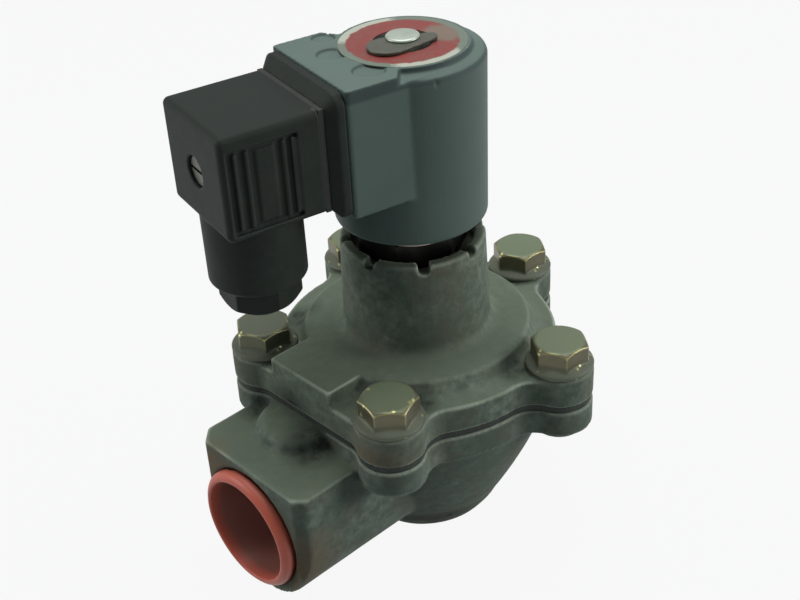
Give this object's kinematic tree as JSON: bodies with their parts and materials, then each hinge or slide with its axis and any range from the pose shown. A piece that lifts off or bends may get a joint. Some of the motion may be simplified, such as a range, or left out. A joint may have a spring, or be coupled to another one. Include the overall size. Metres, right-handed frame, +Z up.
{
  "type": "dust collector pulse valve",
  "caption": "Right-angle diaphragm pulse valve with a grey coil, a black cable plug and a red plug in its threaded inlet.",
  "frame": {"origin": "centre of the outlet port's bottom face", "axes": "+Z up the tower and coil, -Y out of the inlet, -Z out of the outlet"},
  "size_m": [0.093, 0.1096, 0.1342],
  "materials": {
    "cast_body": "dull die casting with greenish grey dirt",
    "cast_cover": "dull die casting, stained",
    "zinc_steel": "yellow zinc plate gone dull",
    "black_rubber": "matt",
    "stainless": "turned",
    "spring_steel": "bright",
    "dull_clip_steel": "dull zinc plate",
    "brass": "turned, dull",
    "copper": "bare copper",
    "grey_moulding": "grey moulding with fine grain",
    "flux_steel": "plain",
    "white_nylon": "plain",
    "red_ring": "plain red ring with a pale rim",
    "tin_plate": "tinned",
    "plug_screw_steel": "zinc plate",
    "black_nylon": "fine grain",
    "red_plastic": "soft polyethylene"
  },
  "bodies": {
    "valve_body": {"body": "cast_body", "cover": "cast_cover", "cover_bolts": "zinc_steel", "inlet_plug": "red_plastic", "pilot_seat": "brass", "pilot_seat_ring": "black_rubber", "core_tube": "stainless", "tube_nut": "flux_steel", "fixed_core": "stainless", "shading_ring": "copper", "wave_washer": "spring_steel", "retaining_clip": "dull_clip_steel"},
    "main_valve": {"diaphragm": "black_rubber", "support_plate": "stainless", "retaining_disc": "stainless", "centre_bolt": "stainless", "centre_nut": "stainless", "main_spring": "spring_steel"},
    "plunger_unit": {"plunger": "stainless", "plunger_seal": "black_rubber", "plunger_spring": "spring_steel"},
    "coil": {"coil_housing": "grey_moulding", "flux_shell": "flux_steel", "flux_lid": "flux_steel", "bobbin": "white_nylon", "winding": "copper", "coil_label": "red_ring", "terminal_base": "black_nylon", "terminal_pins": "tin_plate", "connector_gasket": "black_rubber", "terminal_insert": "black_nylon", "plug_housing": "black_nylon", "plug_screw": "plug_screw_steel", "gland_grommet": "black_rubber", "gland_washer": "black_nylon", "gland_nut": "black_nylon"}
  },
  "joints": [
    {"name": "diaphragm_lift", "type": "slide", "parent": "valve_body", "child": "main_valve", "axis": [0, 0, 1], "range_m": [0, 0.006], "stiffness_N_per_m": 1500, "springref_m": -0.01, "deforming": ["diaphragm", "main_spring"]},
    {"name": "plunger_slide", "type": "slide", "parent": "valve_body", "child": "plunger_unit", "axis": [0, 0, 1], "range_m": [0, 0.002], "stiffness_N_per_m": 300, "springref_m": -0.004, "deforming": ["plunger_spring"]},
    {"name": "coil_swivel", "type": "hinge", "parent": "valve_body", "child": "coil", "pos_m": [0, 0, 0.11], "axis": [0, 0, 1], "continuous": true}
  ]
}
